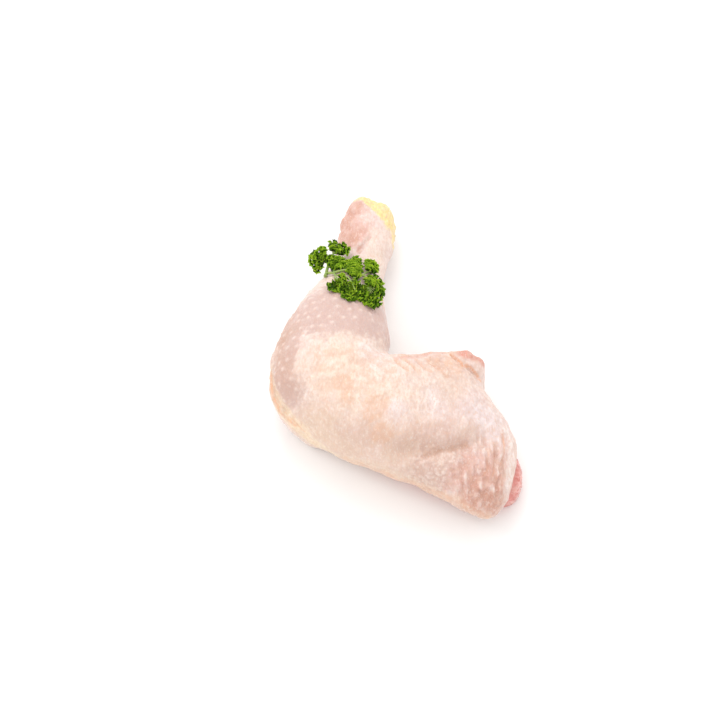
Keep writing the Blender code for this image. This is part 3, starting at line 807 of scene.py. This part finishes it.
def makeSkin(mottle, pores):
    piece = copyOfNode("leg", "legSkin")
    meatSurface = BVHTree.FromPolygons(*polygonsOf("thigh_meat"))
    evenMesh(piece, skinForm["meshSize"], skinForm["facetPasses"])
    mesh = piece.data
    points = pointsOf(mesh)
    print("skin mesh", len(mesh.vertices), "points")
    openSkin = smoothStep(0.6, 2.6, distanceTo(meatSurface, points)) * smoothStep(0.2, 2.0, points[:, 2])
    pressCreases(mesh, surfaceOf(piece), openSkin)
    points = pointsOf(mesh)
    x, y = points.T[:2]
    surface = surfaceOf(piece)
    masks = {name: maskFromPlaces(points, surface, name) for name in {**skinForm["spots"], **skinForm["bands"]}}
    onThigh = smoothStep(-4, 8, x) * (1 - masks["granular"])
    onHock = smoothStep(30, 42, y)
    calf = smoothStep(27, 18, y) * smoothStep(0, -8, x + 0.25 * (y + 20)) * smoothStep(-52, -44, y)
    masks["fatCream"] = masks["fatCream"] * (1 - masks["kneeCream"])
    masks["thinSkin"] = masks["thinSkin"] * (1 - masks["kneeCream"]) * (1 - 0.9 * masks["dimpled"])
    masks["bumpsOnThin"] = np.clip(calf * (1 - masks["dimpled"]) + 0.35 * onThigh * masks["thinSkin"], 0, 1)
    masks["rosyRidges"] = spot(points, (36, -76, 27), (14, 18, 16)) * (1 - 0.5 * masks["lipAndHighlight"])
    masks["hockSkin"] = onHock * (1 - masks["cuticle"]) * (0.3 + 0.7 * masks["rosy"])
    masks["thighSkin"] = onThigh
    masks["everywhere"] = np.ones(len(points))
    for name in ("granular", "dimpled", "bumpsOnThin", "rosyRidges", "hockSkin", "thighSkin", "everywhere"):
        masks[name] = masks[name] * openSkin
    for name, values in masks.items():
        storeMask(mesh, name, values)
    finish = makeSkinFinish(mottle, pores)
    featherTree, grainTree = makeFeatherTree(), makeGrainTree()
    for name, (where, cell, turn, height, seed) in skinForm["grains"].items():
        useNodes(piece, grainTree, {
            "Where": where, "Cell": cell, "Turn": math.radians(turn), "Height": height, "Seed": seed,
            "Mask name": name, "Material": finish,
        })
    rows = featherRows(surfaceOf(piece))
    noRows = linked("no rows", bpy.data.meshes.new("no rows"))
    for name, (where, density, distance, width, height, seed) in skinForm["featherBumps"].items():
        useNodes(piece, featherTree, {
            "Where": where, "Rows": noRows if density else rows, "Density": density, "Distance": distance,
            "Width": width, "Height": height, "Seed": seed, "Mask name": name, "Material": finish,
        })
    applied(piece)
    for guide in (rows, noRows):
        bpy.data.objects.remove(guide)
    mesh = piece.data
    overFloor(mesh)
    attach(piece, "root")
    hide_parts("leg")
    print("skin done", len(mesh.polygons), "faces")
    return piece


def polygonsOf(node):
    mesh = frame["nodes"][node].data
    return [v.co.copy() for v in mesh.vertices], [tuple(p.vertices) for p in mesh.polygons]


# The bare meat at the cut end of the thigh.
meatForm = {
    "meshSize": 0.5,
    "facetPasses": 8,
    "fibre": ((7.0, 1.5, 1.3), 0.0, 0.35, 4.0),
    "lean": (0.84, 0.470, 0.425),
    "deep": (0.60, 0.190, 0.160),
    "fat": (0.82, 0.60, 0.52),
    "roughness": (0.25, 0.42),
    "coat": 0.4,
    "coatRoughness": 0.12,
    "subsurface": (0.15, (1.0, 0.25, 0.2), 2.0),
    "relief": (0.5, 0.15),
}


def makeMeatFinish(mottle, pores):
    material, tree, shader = newMaterial("rawMeat")
    streak = mottled(tree, mottle, 2.2, 0.35, 0.65, (3.0, 0.7, 0.7))
    colour = mixColour(tree, streak, meatForm["lean"], meatForm["deep"])
    film = mottled(tree, mottle, 5.0, 0.52, 0.66, (2.2, 1.0, 1.0))
    colour = tinted(tree, colour, film, 0.55, meatForm["fat"])
    # Painted shade in the hollows between the fibres.
    colour = tinted(tree, colour, maskOf(tree, "fibreGap"), 0.3, meatForm["deep"])
    # Painted shade where the meat tucks under the skin.
    colour = tinted(tree, colour, maskOf(tree, "shadeBesideSkin"), 0.7, meatForm["deep"])
    put(tree, shader.inputs["Base Color"], colour)
    dull = mottled(tree, mottle, 3.0, 0.3, 0.7)
    put(tree, shader.inputs["Roughness"], ranged(tree, dull, 0.0, 1.0, *meatForm["roughness"], "LINEAR"))
    shader.inputs["Coat Weight"].default_value = meatForm["coat"]
    shader.inputs["Coat Roughness"].default_value = meatForm["coatRoughness"]
    underSurface(shader, *meatForm["subsurface"])
    fibre = groupNode(tree, pores, size=0.7, stretch=(5.0, 1.0, 1.0), depth=1.0)
    reliefOf(tree, shader, fibre.outputs["Height"], *meatForm["relief"])
    return material


def makeMeat(mottle, pores, skin):
    piece = copyOfNode("thigh_meat", "thighMeat")
    evenMesh(piece, meatForm["meshSize"], meatForm["facetPasses"])
    mesh = piece.data
    points = pointsOf(mesh)
    fromSkin = distanceTo(surfaceOf(skin), points)
    storeMask(mesh, "bare", smoothStep(0.5, 2.0, fromSkin) * smoothStep(0.2, 1.5, points[:, 2]))
    # where the meat meets the skin, for painted shade there
    storeMask(mesh, "shadeBesideSkin", 1 - smoothStep(0.5, 4.5, fromSkin))
    cell, turn, height, seed = meatForm["fibre"]
    useNodes(piece, bpy.data.node_groups["stretched grain"], {
        "Where": "bare", "Cell": cell, "Turn": turn, "Height": height, "Seed": seed,
        "Mask name": "fibreGap", "Material": makeMeatFinish(mottle, pores),
    })
    applied(piece)
    overFloor(piece.data)
    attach(piece, "root")
    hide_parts("thigh_meat")
    print("meat done", len(piece.data.polygons), "faces")


# The sprig of curly parsley.
sprig = {
    # leaflets: base in plan, lowest height, half spread of a lobe, then each lobe's heading, length and bare share
    "leaflets": (
        ((-31.9, 35.9), 27.0, 15, ((98, 6.7, 0), (115, 7.7, 0), (145, 7.7, 0), (173, 8.1, 0), (-161, 8.3, 0),
            (-138, 8.5, 0), (-120, 9.0, 0))),
        ((-28.5, 39.3), 26.5, 11, ((101, 7.7, 0), (85, 7.8, 0))),
        ((-28.3, 39.3), 26.5, 14, ((64, 6.7, 0), (44, 7.8, 0), (22, 8.9, 0), (4, 8.0, 0))),
        ((-26.4, 26.7), 27.5, 15, ((116, 12.1, 0), (104, 11.6, 0), (84, 10.7, 0), (66, 9.8, 0), (40, 7.4, 0),
            (127, 6.0, 0))),
        ((-18.7, 19.3), 27.0, 12, ((88, 18.4, 0), (97, 15.6, 0), (78, 13.3, 0), (65, 8.4, 0), (41, 4.7, 0),
            (108, 10.9, 0), (123, 6.4, 0), (-104, 6.3, 0), (-73, 4.9, 0))),
        ((-13.1, 26.1), 26.0, 14, ((84, 10.0, 0), (73, 10.9, 0), (59, 9.6, 0), (45, 7.8, 0), (30, 6.0, 0))),
        ((-25.8, 18.5), 28.0, 18, ((54, 5.0, 0), (8, 5.2, 0), (-38, 6.3, 0), (-72, 8.5, 0), (-91, 9.5, 0),
            (-109, 9.8, 0), (-130, 7.2, 0))),
        ((-19.2, 14.8), 28.0, 17, ((-130, 8.9, 0), (-107, 12.0, 0), (-95, 12.5, 0), (-82, 11.0, 0), (-65, 7.3, 0),
            (-32, 3.9, 0))),
        ((-13.3, 14.8), 27.0, 13, ((-150, 4.0, 0), (89, 7.0, 0), (74, 9.5, 0), (63, 12.3, 0), (49, 11.4, 0),
            (30, 10.1, 0), (9, 8.9, 0.3), (-14, 8.6, 0.42), (-42, 9.2, 0.5), (-60, 11.9, 0.42), (-77, 14.3, 0.3),
            (-89, 13.0, 0), (-103, 11.7, 0), (-117, 9.4, 0))),
    ),
    # stems: points in plan, first and last radius, rise over the leaves
    "stems": (
        (((-31.9, 23.9), (-31.2, 29.7), (-30.7, 32.8), (-31.9, 35.9)), 0.8, 0.5, 0.3),
        (((-31.4, 26.7), (-28.3, 24.9), (-25.2, 25.9), (-22.2, 26.2), (-20.2, 23.5), (-18.7, 19.0)), 0.6, 0.45,
            0.6),
        (((-28.1, 24.9), (-26.9, 20.9), (-25.8, 18.3)), 0.45, 0.4, 0.3),
        (((-27.4, 25.3), (-28.7, 32.2), (-28.7, 35.6), (-28.4, 38.9)), 0.5, 0.4, 0.0),
        (((-21.7, 19.4), (-20.4, 16.2), (-19.1, 12.1), (-18.3, 9.1)), 0.34, 0.28, 1.7),
        (((-18.7, 18.8), (-17.0, 20.8), (-15.4, 22.7), (-13.1, 25.6)), 0.5, 0.42, 0.6),
        (((-15.4, 22.7), (-13.6, 22.1), (-13.2, 18.3), (-13.3, 14.4)), 0.5, 0.42, 0.6),
    ),
    "stemLowest": 27.0,
    "clearance": 1.2,
    "sheetShare": 0.85,
    "sheetThickness": 0.3,
    "frillLength": 2.1,
    "frillSpread": 56.0,
    "frillRows": (0.1, 0.45, 0.78, 1.0),
    "frillColumns": 7,
    "frillThickness": 0.1,
    "frillSpacing": 1.3,
    "leanInside": 62.0,
    "leanAtRim": 14.0,
    "turnJitter": 34.0,
    "leanJitter": 20.0,
    "sizeJitter": 0.18,
    "layerRise": 1.0,
    "seed": 5,
    # painted shade deep in the curls, then the leaf's green, then the painted highlight on the rims
    "leafShade": (0.006, 0.024, 0.001),
    "leafGreen": (0.092, 0.225, 0.005),
    "leafHighlight": (0.38, 0.54, 0.03),
    "stemGreen": (0.33, 0.4, 0.1),
    "stemShade": (0.2, 0.33, 0.06),
    "veinRadii": (0.34, 0.15),
    "veinShare": 0.62,
    "lobeRows": 6,
    "lobeColumns": 7,
    "toothDepth": 0.16,
    "foldHeight": 0.3,
    "cupHeight": 0.34,
    "leafSpecular": 0.06,
}


def heightOver(surface):
    def height(x, y, lowest):
        start = placed((x, y, 0))
        hit = surface.ray_cast(Vector((start.x, start.y, 0.2)), Vector((0, 0, -1)))[0]
        return max(hit.z / mm + sprig["clearance"], lowest) if hit else lowest

    return height


def frillMesh(index):
    rows, columns = sprig["frillRows"], sprig["frillColumns"]
    spread = math.radians(sprig["frillSpread"])
    shape = bmesh.new()
    rimLayer = shape.verts.layers.float.new("rim")
    sheets = ([], [])
    for reach in rows:
        for c in range(columns):
            aside = c / (columns - 1) * 2 - 1
            tooth = 1 if c % 2 == 0 else 1 - sprig["toothDepth"] * reach**3
            fold = math.sin(c * 1.57 + index * 1.7) * sprig["foldHeight"] * reach**1.5
            cup = sprig["cupHeight"] * reach**2 * aside**2 + 0.12 * reach - 0.2 * reach**3
            angle = aside * spread + 0.12 * math.sin(c * 2.7 + index) * reach
            point = Vector((math.cos(angle), math.sin(angle), 0)) * reach * tooth
            for sheet, side in zip(sheets, (0.5, -0.5)):
                lift = side * sprig["frillThickness"] * (1 - 0.5 * reach)
                vert = shape.verts.new(point + Vector((0, 0, fold + cup + lift)))
                vert[rimLayer] = reach
                sheet.append(vert)
    closeSheets(shape, sheets, len(rows), columns)
    mesh = meshFrom(shape, f"frill {index}")
    mesh.shade_smooth()
    return mesh


def outFrom(base, reach, angle):
    return base[0] + reach * math.cos(angle), base[1] + reach * math.sin(angle)


def closeSheets(shape, sheets, rows, columns):
    for sheet, turn in zip(sheets, (1, -1)):
        for r in range(rows - 1):
            for c in range(columns - 1):
                a = r * columns + c
                face = (sheet[a], sheet[a + columns], sheet[a + columns + 1], sheet[a + 1])
                shape.faces.new(face[::turn])
    rim = list(range(columns))
    rim += [r * columns + columns - 1 for r in range(1, rows)]
    rim += [(rows - 1) * columns + c for c in range(columns - 2, -1, -1)]
    rim += [r * columns for r in range(rows - 2, 0, -1)]
    top, bottom = sheets
    for i, j in zip(rim, rim[1:] + rim[:1]):
        shape.faces.new((top[i], top[j], bottom[j], bottom[i]))
    bmesh.ops.recalc_face_normals(shape, faces=shape.faces)


def lobeSheet(shape, rimLayer, base, lobe, halfSpread, lowest, height, index):
    heading, length, bare = lobe
    rows, columns = sprig["lobeRows"], sprig["lobeColumns"]
    sheets = ([], [])
    for r in range(rows):
        first = max(bare, 0.05)
        part = first + (1 - first) * r / (rows - 1)
        for c in range(columns):
            aside = c / (columns - 1) * 2 - 1
            angle = math.radians(heading + aside * halfSpread)
            tooth = 1 if c % 2 == 0 else 1 - 0.1 * part**3
            reach = length * part * tooth * (1 - 0.34 * abs(aside) ** 2.4) * sprig["sheetShare"]
            x, y = outFrom(base, reach, angle)
            wave = math.sin(c * 1.9 + index * 2.3) * 0.5 * part**1.5
            z = height(x, y, lowest) + wave + 0.3 * part
            for sheet, side in zip(sheets, (0.5, -0.5)):
                vert = shape.verts.new((x, y, z + side * sprig["sheetThickness"]))
                # A low rim value gives the sheet the colour of painted shade between the curls.
                vert[rimLayer] = 0.15 + 0.3 * part
                sheet.append(vert)
    closeSheets(shape, sheets, rows, columns)


def makeFrillTree():
    tree, given, made = newGroup("curly frills", "GeometryNodeTree", {
        "Geometry": ("Geometry", None), "Frills": ("Collection", None), "Frill length": ("Float", 2.7),
        "Turn jitter": ("Float", 0.5), "Lean jitter": ("Float", 0.3), "Size jitter": ("Float", 0.2),
        "Seed": ("Int", 1), "Material": ("Material", None),
    }, {"Geometry": ("Geometry", None)})

    def jitter(amount, shift):
        node = add(tree, "FunctionNodeRandomValue", data_type="FLOAT")
        floats = [s for s in node.inputs if s.type == "VALUE"]
        put(tree, floats[0], times(tree, amount, -1.0))
        put(tree, floats[1], amount)
        put(tree, node.inputs["Seed"], math2(tree, "ADD", given.outputs["Seed"], shift))
        return next(s for s in node.outputs if s.enabled)

    guides = add(tree, "GeometryNodeSeparateGeometry", {
        "Geometry": given.outputs["Geometry"], "Selection": named(tree, "guide"),
    })
    heading = math2(tree, "ADD", named(tree, "heading"), jitter(given.outputs["Turn jitter"], 1))
    lean = math2(tree, "SUBTRACT", jitter(given.outputs["Lean jitter"], 2), named(tree, "lean"))
    roll = jitter(given.outputs["Lean jitter"], 3)
    turn = add(tree, "ShaderNodeCombineXYZ", {"X": roll, "Y": lean, "Z": heading}).outputs[0]
    tone = jitter(0.5, 5)
    size = times(tree, named(tree, "size"), math2(tree, "ADD", 1.0, jitter(given.outputs["Size jitter"], 4)))
    scale = times(tree, times(tree, size, given.outputs["Frill length"]), mm)
    several = add(tree, "GeometryNodeCollectionInfo", {
        "Collection": given.outputs["Frills"], "Separate Children": True, "Reset Children": True,
    })
    stood = add(tree, "GeometryNodeInstanceOnPoints", {
        "Points": guides.outputs[0], "Instance": several.outputs[0], "Pick Instance": True, "Rotation": turn,
        "Scale": add(tree, "ShaderNodeCombineXYZ", {"X": scale, "Y": scale, "Z": scale}).outputs[0],
    })
    toned = add(tree, "GeometryNodeStoreNamedAttribute", {
        "Geometry": stood.outputs[0], "Name": "tone", "Value": math2(tree, "ADD", tone, 0.5),
    }, data_type="FLOAT", domain="INSTANCE")
    both = tree.nodes.new("GeometryNodeJoinGeometry")
    tree.links.new(guides.outputs[1], both.inputs[0])
    tree.links.new(toned.outputs[0], both.inputs[0])
    finishTree(tree, both.outputs[0], given, made)
    return tree


def makeLeafFinish(mottle, pores):
    material, tree, shader = newMaterial("parsleyLeaf")
    rim = maskOf(tree, "rim")
    # Darker towards the base of each frill and on the sheets under the frills: painted shade deep in the curls.
    colour = mixColour(tree, ranged(tree, rim, 0.25, 0.8), sprig["leafShade"], sprig["leafGreen"])
    patch = mottled(tree, mottle, 2.2, 0.35, 0.65)
    tone = ranged(tree, maskOf(tree, "tone"), 0.2, 1.0, kind="LINEAR")
    # Painted highlight on the rims of the frills.
    lively = math2(tree, "ADD", times(tree, patch, 0.3), times(tree, tone, 0.8))
    rimHighlight = times(tree, ranged(tree, rim, 0.5, 1.0), lively)
    colour = mixColour(tree, rimHighlight, colour, sprig["leafHighlight"])
    shade = ranged(tree, maskOf(tree, "tone"), 0.5, 0.15, 0.0, 0.65)
    colour = mixColour(tree, shade, colour, sprig["leafShade"])
    put(tree, shader.inputs["Base Color"], colour)
    put(tree, shader.inputs["Roughness"], ranged(tree, patch, 0.0, 1.0, 0.5, 0.65, "LINEAR"))
    shader.inputs["Specular IOR Level"].default_value = sprig["leafSpecular"]
    underSurface(shader, 0.1, (0.5, 1.0, 0.15), 0.6)
    vein = groupNode(tree, pores, size=0.45, depth=1.0)
    reliefOf(tree, shader, vein.outputs["Height"], 0.4, 0.05)
    return material


def makeStemFinish(mottle, pores):
    material, tree, shader = newMaterial("parsleyStem")
    patch = mottled(tree, mottle, 1.8, 0.3, 0.7)
    colour = mixColour(tree, patch, sprig["stemGreen"], sprig["stemShade"])
    put(tree, shader.inputs["Base Color"], colour)
    put(tree, shader.inputs["Roughness"], ranged(tree, patch, 0.0, 1.0, 0.32, 0.45, "LINEAR"))
    ribs = groupNode(tree, pores, size=0.3, depth=1.0)
    reliefOf(tree, shader, ribs.outputs["Height"], 0.3, 0.05)
    return material


def makeLeaves(height, mottle, pores):
    shape = bmesh.new()
    layers = {name: shape.verts.layers.float.new(name) for name in ("rim", "guide", "heading", "lean", "size")}
    index = 0
    for base, lowest, halfSpread, lobes in sprig["leaflets"]:
        for lobe in lobes:
            heading, length, bare = lobe
            index += 1
            lobeSheet(shape, layers["rim"], base, lobe, halfSpread, lowest, height, index)
            reachMost = length - 0.92 * sprig["frillLength"]
            reachLeast = max(0.9, bare * length)
            rows = max(2, round((reachMost - reachLeast) / sprig["frillSpacing"]))
            for r in range(rows + 1):
                reach = reachLeast + (reachMost - reachLeast) * r / rows
                share = reach / reachMost
                half = halfSpread * (1 - 0.25 * share)
                across = max(1, round(2 * math.radians(half) * reach / sprig["frillSpacing"]))
                for c in range(across):
                    aside = ((c + 0.5) / across * 2 - 1) * 0.8 if across > 1 else 0.0
                    pulled = reach * (1 - 0.2 * abs(aside) ** 2)
                    angle = math.radians(heading + aside * half)
                    x, y = outFrom(base, pulled, angle)
                    rise = sprig["layerRise"] * (1 - 0.75 * share)
                    vert = shape.verts.new((x, y, height(x, y, lowest) + rise))
                    vert[layers["guide"]] = 1.0
                    vert[layers["heading"]] = angle + math.radians(18) * aside
                    lean = sprig["leanInside"] + (sprig["leanAtRim"] - sprig["leanInside"]) * share
                    vert[layers["lean"]] = math.radians(lean)
                    vert[layers["size"]] = 0.85 + 0.15 * share
    mesh = meshFrom(shape, "parsleyLeaves")
    movePoints(mesh, valuesOf(mesh, "co"))
    piece = linked("parsleyLeaves", mesh)
    frills = bpy.data.collections.new("frills")
    for i in range(4):
        frills.objects.link(bpy.data.objects.new(f"frill{i}", frillMesh(i)))
    useNodes(piece, makeFrillTree(), {
        "Frills": frills,
        "Frill length": sprig["frillLength"],
        "Turn jitter": math.radians(sprig["turnJitter"]),
        "Lean jitter": math.radians(sprig["leanJitter"]),
        "Size jitter": sprig["sizeJitter"],
        "Seed": sprig["seed"],
        "Material": makeLeafFinish(mottle, pores),
    })
    applied(piece)
    for frill in list(frills.objects):
        bpy.data.objects.remove(frill)
    bpy.data.collections.remove(frills)
    piece.data.shade_smooth()
    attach(piece, "root")
    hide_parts("parsley_sprig")
    print("leaves done", len(piece.data.polygons), "faces")


def tube(shape, places, firstRadius, lastRadius, sides=12):
    rings = []
    for i, place in enumerate(places):
        along = (places[min(i + 1, len(places) - 1)] - places[max(i - 1, 0)]).normalized()
        side = along.cross(Vector((0, 0, 1))).normalized()
        up = side.cross(along)
        radius = firstRadius + (lastRadius - firstRadius) * i / (len(places) - 1)
        ring = []
        for k in range(sides):
            a = 2 * math.pi * k / sides
            ribbed = radius * (1 + 0.08 * math.cos(3 * a))
            ring.append(shape.verts.new(place + ribbed * (math.cos(a) * side + math.sin(a) * up)))
        rings.append(ring)
    for first, second in zip(rings, rings[1:]):
        for i in range(sides):
            j = (i + 1) % sides
            shape.faces.new((first[i], first[j], second[j], second[i]))
    for ring in (rings[0], rings[-1]):
        shape.faces.new(ring)


def makeStems(height, mottle, pores):
    shape = bmesh.new()
    for path, firstRadius, lastRadius, rise in sprig["stems"]:
        places = [Vector((x, y, height(x, y, sprig["stemLowest"]) + rise)) for x, y in through(path, 8)]
        for _ in range(4):
            for i in range(1, len(places) - 1):
                places[i].z = max(places[i].z, (places[i - 1].z + places[i + 1].z) / 2)
        tube(shape, places, firstRadius, lastRadius)
    for base, lowest, _, lobes in sprig["leaflets"]:
        for heading, length, _ in lobes:
            angle = math.radians(heading)
            places = []
            for step in range(7):
                reach = sprig["veinShare"] * length * step / 6
                x, y = outFrom(base, reach, angle)
                places.append(Vector((x, y, height(x, y, lowest) + 0.25 + 0.5 * math.sin(math.pi * step / 6))))
            tube(shape, places, *sprig["veinRadii"], 8)
    bmesh.ops.recalc_face_normals(shape, faces=shape.faces)
    mesh = meshFrom(shape, "parsleyStems")
    movePoints(mesh, valuesOf(mesh, "co"))
    piece = linked("parsleyStems", mesh)
    mesh.materials.append(makeStemFinish(mottle, pores))
    mesh.shade_smooth()
    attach(piece, "root")
    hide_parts("parsley_sprig")
    print("stems done", len(mesh.polygons), "faces")


makeStudio()
mottle, pores = makeMottle(), makePores()
skin = makeSkin(mottle, pores)
makeMeat(mottle, pores, skin)
height = heightOver(surfaceOf(skin))
makeStems(height, mottle, pores)
makeLeaves(height, mottle, pores)
